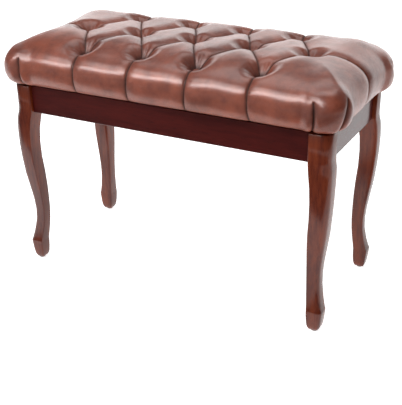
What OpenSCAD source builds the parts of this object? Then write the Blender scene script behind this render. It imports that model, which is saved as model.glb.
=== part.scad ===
// Upholstered piano bench: a deep-tufted lift-up seat over a shallow music box, on four cabriole legs.
// Millimetres, +Z up. The origin is on the floor under the middle of the frame.
// +X is along the bench towards its right end, -Y is the front, and the seat is hinged along the back.

/* [Frame] */
// Length of the frame over the outer faces of the leg blocks
frame_length = 710; // [560:10:1000]
// Depth of the frame over the outer faces of the leg blocks
frame_depth = 320; // [270:5:420]
// Height of the frame's top edge above the floor
frame_height = 420; // [350:5:500]
// Height of the apron boards
apron_height = 59; // [54:1:75]
// Thickness of the apron boards
apron_thickness = 18; // [15:1:20]
// How far the front and side aprons sit behind the leg faces
apron_setback = 8; // [4:1:10]
// Thickness of the plywood floor of the music box
floor_thickness = 4; // [3:0.5:6]
// Depth of the grooves that hold the floor
groove_depth = 5; // [3:0.5:6]
// Wood left under the grooves
groove_rise = 5; // [4:0.5:8]

/* [Legs] */
// Side of the square block at the top of each leg
leg_block = 42; // [36:1:52]
// Height of the nylon glide under each foot
glide_height = 2.5; // [1.5:0.5:4]
// Diameter of the glide
glide_diameter = 14; // [10:1:15]

/* [Corner braces] */
// Thickness of the diagonal brace behind each leg
brace_thickness = 20; // [16:1:24]
// Width of the flat cut on the inner corner of each leg block, along each face
leg_flat = 12; // [10:1:14]
// Gap above and below each brace
brace_margin = 3; // [2:0.5:5]
// Diameter of the hanger bolts
bolt_diameter = 8; // [6:1:8]
// Length of hanger bolt inside the leg
bolt_grip = 30; // [24:1:34]
// Length of hanger bolt that stands out of the brace
bolt_tail = 13; // [11:1:16]
// Width across the flats of the nuts
nut_width = 13; // [12:0.5:15]
// Diameter of the washers
washer_diameter = 20; // [16:1:22]

/* [Seat] */
// Thickness of the seat board
board_thickness = 12; // [9:1:18]
// Height of the whole seat from the leather's underside to its crown
seat_height = 89; // [75:1:110]
// How far the seat's lower edge stands outside the frame, along the length
seat_lap_x = 3; // [0:0.5:8]
// How far the seat's lower edge stands inside the frame, across the depth
seat_inset_y = 3; // [0:0.5:8]
// How far the padding bulges beyond the seat's lower edge
seat_bulge = 14.5; // [8:0.5:16]
// Height of the widest part of the bulge above the leather's underside
bulge_height = 35; // [25:1:45]
// Width of the rounded roll along the top edge
roll_width = 44; // [30:1:50]
// Radius of the seat's corners at its lower edge, seen from above
corner_radius = 45; // [38:1:60]
// Thickness of the leather
leather_thickness = 1.5; // [1:0.1:2]
// Width of the leather turned under the board
leather_turn = 22; // [16:1:30]

/* [Tufting] */
// Distance between buttons along a row
tuft_pitch = 128; // [110:1:130]
// Distance between rows
row_pitch = 108; // [90:1:110]
// Buttons in the middle row
middle_row_count = 5; // [3:1:5]
// Depth of a button below the crown
tuft_depth = 32; // [22:1:40]
// Diameter of a button
button_diameter = 16; // [12:1:20]
// Diameter of the mouth of a tuft
tuft_mouth = 40; // [30:1:46]
// Diameter of the button twine
twine_diameter = 1.6; // [1:0.2:2]

/* [Hinge and stays] */
// Height of the gap between the frame and the leather's underside
lid_gap = 3; // [3:0.1:4]
// Thickness of the hinge leaves
leaf_thickness = 1.2; // [1:0.1:1.3]
// Width of the hinge leaves
leaf_width = 14; // [12:1:18]
// Outer diameter of the hinge knuckles
knuckle_diameter = 4.5; // [4:0.1:5.6]
// Diameter of the hinge pin
pin_diameter = 2.2; // [2:0.1:2.4]
// Length of one hinge knuckle
knuckle_pitch = 25; // [20:5:50]
// Distance of the stay's seat pivot in front of its frame pivot
stay_lead = 10; // [8:1:14]
// Depth of the stay's seat pivot below the hinge line
stay_seat_drop = 9; // [8:0.5:12]
// Distance of the stay's frame pivot in front of the rear corner brace
stay_offset = 16; // [15:1:24]
// Depth of the stay's frame pivot below the hinge line
stay_frame_drop = 32; // [28:0.5:34]
// Length of the stay's lower arm between pivots
lower_arm_length = 78; // [77:0.5:82]
// Length of the stay's upper arm between pivots
upper_arm_length = 71; // [70:0.5:75]
// Width of the stay arms
arm_width = 12; // [10:1:13]
// Thickness of the stay's steel strip
strip = 1.8; // [1.5:0.1:2]
// Gap between one strip and the next
strip_gap = 0.4; // [0.3:0.1:0.6]

/* [Fits] */
// Radial clearance of a screw or nail in its pilot hole
pilot_clearance = 0.05; // [0.02:0.01:0.1]
// Radial clearance of a turning pivot
pivot_clearance = 0.08; // [0.05:0.01:0.1]
// Clearance of the floor in its grooves, and round the legs
floor_clearance = 0.5; // [0.2:0.1:1]
// Clearance between the padding and what it fills
pad_clearance = 0.1; // [0.1:0.05:0.3]

/* [Hidden] */
$fn = 48;

// Half sizes of the frame, and the inner faces of the aprons
half_length = frame_length / 2;
half_depth = frame_depth / 2;
apron_bottom = frame_height - apron_height;
side_inner = half_length - apron_setback - apron_thickness;
front_inner = half_depth - apron_setback - apron_thickness;
rear_inner = half_depth - apron_thickness;
leg_inner_x = half_length - leg_block;
leg_inner_y = half_depth - leg_block;
floor_bottom = apron_bottom + groove_rise;
floor_top = floor_bottom + floor_thickness;

// Cabriole curve of a leg: height as a share of the free leg, then how far the outer and the inner
// face stand outside their places on the top block
leg_stations = [
    [0.00, -9.0, 17.0], [0.07, -4.0, 15.0], [0.125, -1.5, 15.0], [0.16, -4.0, 13.5],
    [0.235, -11.0, 7.0], [0.305, -12.5, 6.0], [0.41, -9.5, 7.5], [0.495, -4.5, 8.5],
    [0.60, 1.0, 10.5], [0.74, 4.5, 12.5], [0.85, 6.0, 10.5], [0.925, 6.0, 7.0], [1.00, 0.0, 0.0]
];
leg_steps = 3;
foot_middle = (leg_block + leg_stations[0][1] + leg_stations[0][2]) / 2;

// Corner brace and its hardware
brace_bottom = floor_top + brace_margin;
brace_top = frame_height - brace_margin;
brace_middle = (brace_bottom + brace_top) / 2;
flat_sum = leg_inner_x + leg_inner_y + leg_flat;
brace_sum = flat_sum - brace_thickness * sqrt(2);
flat_centre = [leg_inner_x + leg_flat / 2, leg_inner_y + leg_flat / 2];
bolt_clearance = 0.3;
washer_thickness = 1.6;
nut_thickness = 6.5;
brace_screw_radius = 2;
brace_screw_head = 3.6;
brace_screw_bite = 13;
brace_screw_depth = 9;

// Seat levels
seat_bottom = frame_height + lid_gap;
board_bottom = seat_bottom + leather_thickness;
board_top = board_bottom + board_thickness;
seat_top = seat_bottom + seat_height;
seat_half_x = half_length + seat_lap_x;
seat_half_y = half_depth - seat_inset_y;
board_margin = leather_thickness + pad_clearance;
button_seat = seat_top - tuft_depth;
button_height = 5;
mouth_rise = 1;
cloth_thickness = 0.8;
cloth_lap = 8;
bumper_clearance = 0.2;

// Hinge
axis_y = half_depth + knuckle_diameter / 2 + 0.3;
axis_z = frame_height + lid_gap / 2;
hinge_length = floor((2 * leg_inner_x - 12) / knuckle_pitch) * knuckle_pitch;
knuckle_count = hinge_length / knuckle_pitch;
knuckle_end_gap = 0.3;
leaf_front = axis_y - leaf_width;
leaf_screw_y = leaf_front + 5;
leaf_screw_step = 4 * knuckle_pitch;
leaf_screw_count = floor(hinge_length / leaf_screw_step);
leaf_screw_radius = 1.3;
leaf_screw_head = 2.4;
leaf_screw_length = 11;

// Folding stays: each strip has its own layer inwards from the apron
bracket_x = side_inner - strip;
lower_x = bracket_x - strip_gap - strip;
upper_x = lower_x - strip_gap - strip;
lid_flange_x = upper_x - strip_gap - strip;
rivet_radius = 2.5;
rivet_head = 4.5;
rivet_head_height = 1.2;
stay_screw_radius = 1.5;
stay_screw_head = 2.9;
stay_screw_length = 10;
lid_bracket_depth = 18;
lid_bracket_width = 26;
bracket_width = 16;
stay_reach = axis_y - (brace_sum - side_inner) + stay_offset;
frame_pivot = [-stay_reach, -stay_frame_drop];
seat_pivot = [-stay_reach - stay_lead, -stay_seat_drop];
pivot_gap = norm(seat_pivot - frame_pivot);
pivot_line = (seat_pivot - frame_pivot) / pivot_gap;
arm_share = (pow(lower_arm_length, 2) - pow(upper_arm_length, 2) + pow(pivot_gap, 2)) / (2 * pivot_gap);
arm_rise = sqrt(pow(lower_arm_length, 2) - pow(arm_share, 2));
knuckle_point = frame_pivot + pivot_line * arm_share + [-pivot_line[1], pivot_line[0]] * arm_rise;

// Tuft centres: a middle row and two outer rows set half a pitch over
tufts = concat(
    [for (i = [0 : middle_row_count - 1]) [(i - (middle_row_count - 1) / 2) * tuft_pitch, 0]],
    [for (side = [-1, 1], i = [0 : middle_row_count - 2])
        [(i - (middle_row_count - 2) / 2) * tuft_pitch, side * row_pitch]]
);

wood = [0.27, 0.11, 0.08];
plywood = [0.78, 0.62, 0.43];
steel = [0.62, 0.62, 0.64];
brass = [0.72, 0.56, 0.28];
leather = [0.36, 0.17, 0.11];

// ---------- helpers ----------

// A smooth curve through a, b, c and d, at share t of the way from b to c
function through(a, b, c, d, t) =
    0.5 * (2 * b + (c - a) * t + (2 * a - 5 * b + 4 * c - d) * t * t + (3 * b - a - 3 * c + d) * t * t * t);

// One column of the leg stations, smoothed
function leg_curve(column) = [
    for (i = [0 : len(leg_stations) - 2], k = [0 : leg_steps - 1])
        let (
            a = leg_stations[max(i - 1, 0)],
            b = leg_stations[i],
            c = leg_stations[i + 1],
            d = leg_stations[min(i + 2, len(leg_stations) - 1)],
            t = k / leg_steps
        )
        [
            through(a[column], b[column], c[column], d[column], t),
            glide_height + (b[0] + (c[0] - b[0]) * t) * (apron_bottom - glide_height)
        ]
];

module four_corners() {
    for (sx = [0, 1], sy = [0, 1])
        mirror([sx, 0, 0]) mirror([0, sy, 0]) children();
}

module both_ends() {
    for (sx = [0, 1])
        mirror([sx, 0, 0]) children();
}

// A box given by its lowest and highest corners
module block(low, high) {
    translate(low) cube(high - low);
}

// A rod along +X from x = from to x = to
module rod_x(radius, from, to) {
    translate([from, 0, 0]) rotate([0, 90, 0]) cylinder(h = to - from, r = radius);
}

// A countersunk screw: head flush at z = 0, shank towards -Z
module countersunk_screw(radius, head, length) {
    rise = head - radius;
    translate([0, 0, -rise]) cylinder(h = rise, r1 = radius, r2 = head);
    translate([0, 0, -length + radius]) cylinder(h = length - rise - radius, r = radius);
    translate([0, 0, -length]) cylinder(h = radius, r1 = 0.2, r2 = radius);
}

// The hole that such a screw is driven into
module screw_hole(radius, head, length) {
    rise = head - radius;
    translate([0, 0, -rise]) cylinder(h = rise, r1 = radius + pilot_clearance, r2 = head + pilot_clearance);
    translate([0, 0, -length]) cylinder(h = length, r = radius + pilot_clearance);
    cylinder(h = 1, r = head + pilot_clearance);
}

// ---------- legs ----------

module leg_outline() {
    outer = leg_curve(1);
    inner = leg_curve(2);
    count = len(outer);
    polygon(concat(
        [for (p = outer) [leg_block + p[0], p[1]]],
        [[leg_block, apron_bottom], [leg_block, frame_height], [0, frame_height], [0, apron_bottom]],
        [for (i = [count - 1 : -1 : 0]) [inner[i][0], inner[i][1]]]
    ));
}

// The rear right leg; the other three are its mirror images
module leg() {
    color(wood)
    difference() {
        translate([leg_inner_x, leg_inner_y, 0])
        intersection() {
            translate([0, 2 * leg_block, 0]) rotate([90, 0, 0])
                linear_extrude(height = 3 * leg_block) leg_outline();
            translate([-leg_block, 0, 0]) rotate([90, 0, 90])
                linear_extrude(height = 3 * leg_block) leg_outline();
        }
        leg_flat_cut();
        bolt_line() rod_x(bolt_diameter / 2 + pilot_clearance, -1, bolt_grip + 1);
        foot_centre() cylinder(h = glide_height + 11, r = 1 + pilot_clearance);
    }
}

// The flat on the inner corner of the block, where the brace bears
module leg_flat_cut() {
    translate([0, 0, apron_bottom])
        linear_extrude(height = apron_height + 1)
            polygon([
                [leg_inner_x - 1, leg_inner_y - 1],
                [leg_inner_x + leg_flat + 1, leg_inner_y - 1],
                [leg_inner_x - 1, leg_inner_y + leg_flat + 1]
            ]);
}

module front_left_leg() { mirror([1, 0, 0]) mirror([0, 1, 0]) leg(); }

module front_right_leg() { mirror([0, 1, 0]) leg(); }

module rear_left_leg() { mirror([1, 0, 0]) leg(); }

module rear_right_leg() { leg(); }

module foot_centre() {
    translate([leg_inner_x + foot_middle, leg_inner_y + foot_middle, 0]) children();
}

module foot_glides() {
    color([0.2, 0.19, 0.18])
    four_corners() foot_centre() {
        cylinder(h = glide_height, r = glide_diameter / 2);
        cylinder(h = glide_height + 10, r = 1);
    }
}

// ---------- aprons and floor ----------

module groove(low, high) {
    block(
        [low[0], low[1], floor_bottom - pad_clearance],
        [high[0], high[1], floor_top + pad_clearance]
    );
}

module front_apron() {
    color(wood)
    difference() {
        block([-leg_inner_x, -front_inner - apron_thickness, apron_bottom], [leg_inner_x, -front_inner, frame_height]);
        groove([-half_length, -front_inner - groove_depth], [half_length, 0]);
        both_ends() mirror([0, 1, 0]) brace_screw_places(front_inner, 1) brace_screw_hole();
    }
}

module rear_apron() {
    color(wood)
    difference() {
        block([-leg_inner_x, rear_inner, apron_bottom], [leg_inner_x, half_depth, frame_height]);
        groove([-half_length, 0], [half_length, rear_inner + groove_depth]);
        both_ends() brace_screw_places(rear_inner, 1) brace_screw_hole();
        leaf_screw_places()
            translate([0, 0, frame_height + leaf_thickness])
                screw_hole(leaf_screw_radius, leaf_screw_head, leaf_screw_length);
    }
}

module side_apron() {
    color(wood)
    difference() {
        block([side_inner, -leg_inner_y, apron_bottom], [side_inner + apron_thickness, leg_inner_y, frame_height]);
        groove([0, -half_depth], [side_inner + groove_depth, half_depth]);
        brace_screw_places(rear_inner, 0) brace_screw_hole();
        mirror([0, 1, 0]) brace_screw_places(front_inner, 0) brace_screw_hole();
        stay_frame_screw_places() screw_hole(stay_screw_radius, stay_screw_head, stay_screw_length);
    }
}

module right_apron() { side_apron(); }

module left_apron() { mirror([1, 0, 0]) side_apron(); }

module storage_floor() {
    reach = groove_depth - floor_clearance;
    color(plywood)
    difference() {
        block(
            [-side_inner - reach, -front_inner - reach, floor_bottom],
            [side_inner + reach, rear_inner + reach, floor_top]
        );
        four_corners()
            block(
                [leg_inner_x - floor_clearance, leg_inner_y - floor_clearance, floor_bottom - 1],
                [half_length, half_depth, floor_top + 1]
            );
    }
}

// ---------- corner braces ----------

// Moves +X to the bolt's line, from the leg's flat towards the leg's outer corner
module bolt_line() {
    translate([flat_centre[0], flat_centre[1], brace_middle]) rotate([0, 0, 45]) children();
}

module brace(inner_y) {
    difference() {
        translate([0, 0, brace_bottom])
            linear_extrude(height = brace_top - brace_bottom)
                polygon([
                    [side_inner, flat_sum - side_inner], [side_inner, brace_sum - side_inner],
                    [brace_sum - inner_y, inner_y], [flat_sum - inner_y, inner_y]
                ]);
        bolt_line() rod_x(bolt_diameter / 2 + bolt_clearance, -brace_thickness - 1, 1);
        brace_screw_places(inner_y, 0) brace_screw_hole();
        brace_screw_places(inner_y, 1) brace_screw_hole();
    }
}

module corner_braces() {
    color(wood)
    both_ends() {
        brace(rear_inner);
        mirror([0, 1, 0]) brace(front_inner);
    }
}

// Places of the two screws at one end of a brace; +X is the way each is driven.
// which = 0 is the side apron and which = 1 the long apron.
module brace_screw_places(inner_y, which) {
    offset_along = (brace_thickness * sqrt(2)) / 2;
    rise = (brace_top - brace_bottom) / 4;
    for (s = [-1, 1])
        if (which == 0)
            translate([side_inner, flat_sum - side_inner - offset_along, brace_middle + s * rise]) children();
        else
            translate([flat_sum - inner_y - offset_along, inner_y, brace_middle + s * rise])
                rotate([0, 0, 90]) children();
}

module brace_screw() {
    rod_x(brace_screw_radius, -brace_screw_depth, brace_screw_bite);
    rod_x(brace_screw_head, -brace_screw_depth - 2.5, -brace_screw_depth);
}

module brace_screw_hole() {
    rod_x(brace_screw_radius + pilot_clearance, -brace_screw_depth, brace_screw_bite + 0.5);
    rod_x(brace_screw_head + 0.4, -brace_thickness * sqrt(2), -brace_screw_depth);
}

module brace_screws() {
    color(steel)
    both_ends() {
        for (which = [0, 1]) {
            brace_screw_places(rear_inner, which) brace_screw();
            mirror([0, 1, 0]) brace_screw_places(front_inner, which) brace_screw();
        }
    }
}

module hanger_bolts() {
    color(steel)
    four_corners() bolt_line() rod_x(bolt_diameter / 2, -brace_thickness - bolt_tail, bolt_grip);
}

module leg_washers() {
    color(steel)
    four_corners() bolt_line()
        difference() {
            rod_x(washer_diameter / 2, -brace_thickness - washer_thickness, -brace_thickness);
            rod_x(bolt_diameter / 2 + bolt_clearance, -brace_thickness - washer_thickness - 1, -brace_thickness + 1);
        }
}

module leg_nuts() {
    nut_face = -brace_thickness - washer_thickness;
    color(steel)
    four_corners() bolt_line()
        difference() {
            translate([nut_face - nut_thickness, 0, 0]) rotate([0, 90, 0])
                cylinder(h = nut_thickness, r = nut_width / sqrt(3), $fn = 6);
            rod_x(bolt_diameter / 2 + pilot_clearance, nut_face - nut_thickness - 1, nut_face + 1);
        }
}

module lid_bumpers() {
    color([0.12, 0.11, 0.1])
    for (sx = [-1, 1])
        translate([sx * (leg_inner_x + leg_block / 2), -leg_inner_y - leg_block / 2, frame_height])
            cylinder(h = lid_gap - cloth_thickness - bumper_clearance, r = 6);
}

// ---------- hinge ----------

module leaf_screw_places() {
    for (i = [0 : leaf_screw_count - 1])
        translate([(i - (leaf_screw_count - 1) / 2) * leaf_screw_step, leaf_screw_y, 0]) children();
}

// The knuckles that belong to one leaf: first = 0 or 1
module knuckles(first) {
    for (i = [first : 2 : knuckle_count - 1])
        translate([i * knuckle_pitch - hinge_length / 2, axis_y, axis_z])
            rod_x(knuckle_diameter / 2, knuckle_end_gap / 2, knuckle_pitch - knuckle_end_gap / 2);
}

// Room round the other leaf's knuckles
module knuckle_notches(first) {
    room = knuckle_diameter / 2 + 0.3;
    for (i = [first : 2 : knuckle_count - 1])
        block(
            [i * knuckle_pitch - hinge_length / 2 - knuckle_end_gap / 2, axis_y - room, axis_z - room],
            [(i + 1) * knuckle_pitch - hinge_length / 2 + knuckle_end_gap / 2, axis_y + room, axis_z + room]
        );
}

module leaf(first, low) {
    difference() {
        union() {
            difference() {
                block([-hinge_length / 2, leaf_front, low], [hinge_length / 2, axis_y, low + leaf_thickness]);
                knuckle_notches(1 - first);
            }
            knuckles(first);
        }
        translate([0, axis_y, axis_z])
            rod_x(pin_diameter / 2 + (first == 1 ? pivot_clearance : 0), -hinge_length, hinge_length);
        children();
    }
}

module hinge_frame_leaf() {
    color(brass)
    leaf(0, frame_height)
        leaf_screw_places() translate([0, 0, frame_height + leaf_thickness])
            screw_hole(leaf_screw_radius, leaf_screw_head, leaf_screw_length);
}

module hinge_lid_leaf() {
    color(brass)
    leaf(1, seat_bottom - leaf_thickness)
        leaf_screw_places() translate([0, 0, seat_bottom - leaf_thickness]) rotate([180, 0, 0])
            screw_hole(leaf_screw_radius, leaf_screw_head, leaf_screw_length);
}

module hinge_pin() {
    color(brass)
    translate([0, axis_y, axis_z]) rod_x(pin_diameter / 2, -hinge_length / 2, hinge_length / 2);
}

module frame_leaf_screws() {
    color(brass)
    leaf_screw_places() translate([0, 0, frame_height + leaf_thickness])
        countersunk_screw(leaf_screw_radius, leaf_screw_head, leaf_screw_length);
}

module lid_leaf_screws() {
    color(brass)
    leaf_screw_places() translate([0, 0, seat_bottom - leaf_thickness]) rotate([180, 0, 0])
        countersunk_screw(leaf_screw_radius, leaf_screw_head, leaf_screw_length);
}

// ---------- folding stays ----------

// A flat strip between two pivots, with round ends, in the layer from x = low
module arm(from, to, low, from_bore, to_bore) {
    run = norm(to - from);
    turn = atan2(to[1] - from[1], to[0] - from[0]);
    translate([low, axis_y + from[0], axis_z + from[1]])
    rotate([turn, 0, 0])
    difference() {
        union() {
            rod_x(arm_width / 2, 0, strip);
            translate([0, run, 0]) rod_x(arm_width / 2, 0, strip);
            block([0, 0, -arm_width / 2], [strip, run, arm_width / 2]);
        }
        rod_x(from_bore, -1, strip + 1);
        translate([0, run, 0]) rod_x(to_bore, -1, strip + 1);
    }
}

module lower_arm() {
    color(steel) arm(frame_pivot, knuckle_point, lower_x, rivet_radius + pivot_clearance, rivet_radius);
}

module upper_arm() {
    color(steel) arm(seat_pivot, knuckle_point, upper_x, rivet_radius + pivot_clearance, rivet_radius + pivot_clearance);
}

// The stub of the middle rivet, held in the lower arm
module knuckle_rivet() {
    color(brass)
    translate([0, axis_y + knuckle_point[0], axis_z + knuckle_point[1]]) rod_x(rivet_radius, lower_x, lower_x + strip);
}

module right_lower_arm() { lower_arm(); }

module right_upper_arm() { upper_arm(); }

module right_knuckle_rivet() { knuckle_rivet(); }

module left_lower_arm() { mirror([1, 0, 0]) lower_arm(); }

module left_upper_arm() { mirror([1, 0, 0]) upper_arm(); }

module left_knuckle_rivet() { mirror([1, 0, 0]) knuckle_rivet(); }

// Screws of the frame bracket; +Z is the way their heads face
module stay_frame_screw_places() {
    for (rise = [-10, 10])
        translate([bracket_x, axis_y + frame_pivot[0], axis_z + frame_pivot[1] + rise])
            rotate([0, -90, 0]) children();
}

module stay_frame_brackets() {
    color(steel)
    both_ends()
    difference() {
        block(
            [bracket_x, axis_y + frame_pivot[0] - bracket_width / 2, axis_z + frame_pivot[1] - 16],
            [side_inner, axis_y + frame_pivot[0] + bracket_width / 2, axis_z + frame_pivot[1] + 16]
        );
        translate([0, axis_y + frame_pivot[0], axis_z + frame_pivot[1]])
            rod_x(rivet_radius, bracket_x - 1, side_inner + 1);
        stay_frame_screw_places() screw_hole(stay_screw_radius, stay_screw_head, stay_screw_length);
    }
}

module stay_frame_screws() {
    color(steel)
    both_ends() stay_frame_screw_places() countersunk_screw(stay_screw_radius, stay_screw_head, stay_screw_length);
}

module stay_frame_rivets() {
    color(brass)
    both_ends()
        translate([0, axis_y + frame_pivot[0], axis_z + frame_pivot[1]])
            rod_x(rivet_radius, lower_x, side_inner);
}

module stay_lid_screw_places() {
    for (along = [-8, 8])
        translate([lid_flange_x - lid_bracket_depth / 2, axis_y + seat_pivot[0] + along, board_bottom - strip])
            rotate([180, 0, 0]) children();
}

module stay_lid_brackets() {
    middle = axis_y + seat_pivot[0];
    color(steel)
    both_ends()
    difference() {
        union() {
            block(
                [lid_flange_x - lid_bracket_depth, middle - lid_bracket_width / 2, board_bottom - strip],
                [lid_flange_x + strip, middle + lid_bracket_width / 2, board_bottom]
            );
            block(
                [lid_flange_x, middle - bracket_width / 2, axis_z + seat_pivot[1]],
                [lid_flange_x + strip, middle + bracket_width / 2, board_bottom]
            );
            translate([0, middle, axis_z + seat_pivot[1]])
                rod_x(bracket_width / 2, lid_flange_x, lid_flange_x + strip);
        }
        translate([0, middle, axis_z + seat_pivot[1]])
            rod_x(rivet_radius, lid_flange_x - 1, lid_flange_x + strip + 1);
        stay_lid_screw_places() screw_hole(stay_screw_radius, stay_screw_head, stay_screw_length);
    }
}

module stay_lid_screws() {
    color(steel)
    both_ends() stay_lid_screw_places() countersunk_screw(stay_screw_radius, stay_screw_head, stay_screw_length);
}

module stay_lid_rivets() {
    color(brass)
    both_ends()
        translate([0, axis_y + seat_pivot[0], axis_z + seat_pivot[1]]) {
            rod_x(rivet_radius, lid_flange_x, upper_x + strip);
            rod_x(rivet_head, lid_flange_x - rivet_head_height, lid_flange_x);
        }
}

// ---------- seat ----------

// Edge outline of the padding, drawn outwards from a corner's centre; skin = how far inside the leather's face
function edge_outline(skin) =
    let (
        roll_centre = corner_radius + seat_bulge - roll_width,
        roll_rise = seat_height - bulge_height
    )
    concat(
        [[0, seat_bottom + skin]],
        [for (i = [0 : 4])
            let (rise = skin + (bulge_height - skin) * i / 4)
            [corner_radius - skin + seat_bulge * sin(90 * rise / bulge_height), seat_bottom + rise]],
        [for (a = [15 : 15 : 90])
            [
                roll_centre + (roll_width - skin) * cos(a),
                seat_bottom + bulge_height + (roll_rise - skin) * sin(a)
            ]],
        [[0, seat_top - skin]]
    );

// The whole padded form: four turned corners, four straight edges and the middle
module padded_form(skin) {
    centre_x = seat_half_x - corner_radius;
    centre_y = seat_half_y - corner_radius;
    for (q = [0 : 3])
        translate([centre_x * (q == 0 || q == 3 ? 1 : -1), centre_y * (q < 2 ? 1 : -1), 0])
            rotate([0, 0, 90 * q]) rotate_extrude(angle = 90) polygon(edge_outline(skin));
    for (s = [0, 1]) {
        mirror([s, 0, 0]) translate([centre_x, centre_y, 0]) rotate([90, 0, 0])
            linear_extrude(height = 2 * centre_y) polygon(edge_outline(skin));
        mirror([0, s, 0]) translate([-centre_x, centre_y, 0]) rotate([90, 0, 90])
            linear_extrude(height = 2 * centre_x) polygon(edge_outline(skin));
    }
    block([-centre_x, -centre_y, seat_bottom + skin], [centre_x, centre_y, seat_top - skin]);
}

module each_tuft() {
    for (p = tufts)
        translate([p[0], p[1], 0]) children();
}

// The wells that the buttons pull down; wall = extra room round each
module wells(wall) {
    each_tuft()
        translate([0, 0, button_seat - wall])
            cylinder(
                h = tuft_depth + wall + mouth_rise,
                r1 = button_diameter / 2 + 0.5 + wall,
                r2 = tuft_mouth / 2 + wall
            );
}

// A flat plate with rounded corners, margin inside the seat's lower edge
module rounded_plate(margin, low, high) {
    radius = corner_radius - margin;
    centre_x = seat_half_x - corner_radius;
    centre_y = seat_half_y - corner_radius;
    for (q = [0 : 3])
        translate([centre_x * (q == 0 || q == 3 ? 1 : -1), centre_y * (q < 2 ? 1 : -1), low])
            cylinder(h = high - low, r = radius);
    block([-centre_x - radius, -centre_y, low], [centre_x + radius, centre_y, high]);
    block([-centre_x, -centre_y - radius, low], [centre_x, centre_y + radius, high]);
}

module seat_board() {
    color(plywood)
    difference() {
        rounded_plate(board_margin, board_bottom, board_top);
        each_tuft() translate([0, 0, board_bottom - 1]) cylinder(h = board_thickness + 2, r = twine_diameter);
        leaf_screw_places() translate([0, 0, seat_bottom - leaf_thickness]) rotate([180, 0, 0])
            screw_hole(leaf_screw_radius, leaf_screw_head, leaf_screw_length);
        both_ends() stay_lid_screw_places() screw_hole(stay_screw_radius, stay_screw_head, stay_screw_length);
    }
}

module foam_pad() {
    skin = leather_thickness + pad_clearance;
    color([0.93, 0.88, 0.7])
    difference() {
        padded_form(skin);
        rounded_plate(board_margin - pad_clearance, seat_bottom, board_top + pad_clearance);
        wells(skin);
        each_tuft() translate([0, 0, board_bottom]) cylinder(h = seat_height, r = twine_diameter);
    }
}

module leather_cover() {
    color(leather)
    difference() {
        padded_form(0);
        difference() {
            padded_form(leather_thickness);
            wells(leather_thickness);
        }
        wells(0);
        rounded_plate(leather_turn, seat_bottom - 1, board_bottom + 1);
        each_tuft() translate([0, 0, button_seat - 3]) cylinder(h = 5, r = twine_diameter);
        leaf_screw_places() translate([0, 0, seat_bottom - leaf_thickness]) rotate([180, 0, 0])
            screw_hole(leaf_screw_radius, leaf_screw_head, leaf_screw_length);
    }
}

module tuft_buttons() {
    radius = button_diameter / 2;
    rim = 2;
    color(leather)
    each_tuft() translate([0, 0, button_seat])
        rotate_extrude() polygon(concat(
            [[0, 0], [radius, 0]],
            [for (a = [0 : 15 : 90]) [radius * cos(a), rim + (button_height - rim) * sin(a)]]
        ));
}

module button_twines() {
    color([0.85, 0.8, 0.68])
    each_tuft() translate([0, 0, board_bottom]) cylinder(h = button_seat - board_bottom, r = twine_diameter / 2, $fn = 24);
}

// Each twine is tied round a staple under the board
module twine_staples() {
    crown = 1;
    color(steel)
    each_tuft() translate([0, 0, board_bottom - crown]) {
        block([-5, -0.5, 0], [5, 0.5, crown]);
        for (s = [-1, 1])
            block([s * 4.5 - 0.5, -0.5, 0], [s * 4.5 + 0.5, 0.5, 8]);
    }
}

module dust_cover() {
    color([0.08, 0.08, 0.08])
    difference() {
        rounded_plate(leather_turn - cloth_lap, seat_bottom - cloth_thickness, seat_bottom);
        block([-seat_half_x, leaf_front - 2, 0], [seat_half_x, seat_half_y, seat_top]);
        both_ends()
            block(
                [
                    lid_flange_x - lid_bracket_depth - 1,
                    axis_y + seat_pivot[0] - lid_bracket_width / 2 - 1,
                    seat_bottom - cloth_thickness - 1
                ],
                [lid_flange_x + strip + 1, axis_y + seat_pivot[0] + lid_bracket_width / 2 + 1, seat_bottom + 1]
            );
    }
}

// Staples along the cloth's edge, through the leather into the board
module cover_staples() {
    crown = 0.6;
    inset = leather_turn - cloth_lap + 3;
    step = 70;
    along_x = floor((seat_half_x - corner_radius) / step);
    along_y = floor((seat_half_y - corner_radius) / step);
    color(steel)
    translate([0, 0, seat_bottom - cloth_thickness - crown]) {
        for (i = [-along_x : along_x])
            translate([i * step, -seat_half_y + inset, 0]) staple(crown);
        for (s = [-1, 1], j = [-along_y : along_y])
            translate([s * (seat_half_x - inset), j * step, 0]) rotate([0, 0, 90]) staple(crown);
    }
}

module staple(crown) {
    block([-5, -0.5, 0], [5, 0.5, crown]);
    for (s = [-1, 1])
        block([s * 4.5 - 0.5, -0.5, 0], [s * 4.5 + 0.5, 0.5, 9]);
}

// ---------- drawing ----------

front_apron();
rear_apron();
left_apron();
right_apron();
front_left_leg();
front_right_leg();
rear_left_leg();
rear_right_leg();
corner_braces();
brace_screws();
hanger_bolts();
leg_washers();
leg_nuts();
storage_floor();
foot_glides();
lid_bumpers();
hinge_frame_leaf();
hinge_lid_leaf();
hinge_pin();
frame_leaf_screws();
lid_leaf_screws();
stay_frame_brackets();
stay_frame_screws();
stay_frame_rivets();
stay_lid_brackets();
stay_lid_screws();
stay_lid_rivets();
left_lower_arm();
left_knuckle_rivet();
left_upper_arm();
right_lower_arm();
right_knuckle_rivet();
right_upper_arm();
seat_board();
foam_pad();
leather_cover();
tuft_buttons();
button_twines();
twine_staples();
dust_cover();
cover_staples();
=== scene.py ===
# %% [markdown]
# # A piano bench with a tufted leather seat
# This notebook dresses a measured bench frame so that it looks like the finished piece of furniture.
# The frame holds every hard part in its true place: aprons, legs, bolts, hinge, lid stays and screws.
# Blender adds what a joiner and an upholsterer would add last: the shaped and stained legs, the
# pleated leather, the covered buttons, the cloth under the seat, and the finish on every surface.
# Everything is in metres, with the floor at height zero and the front of the bench towards -Y.

# %% Load the frame
import math
import random

import bmesh
import bpy
import numpy as np
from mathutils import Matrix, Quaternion, Vector


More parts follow.
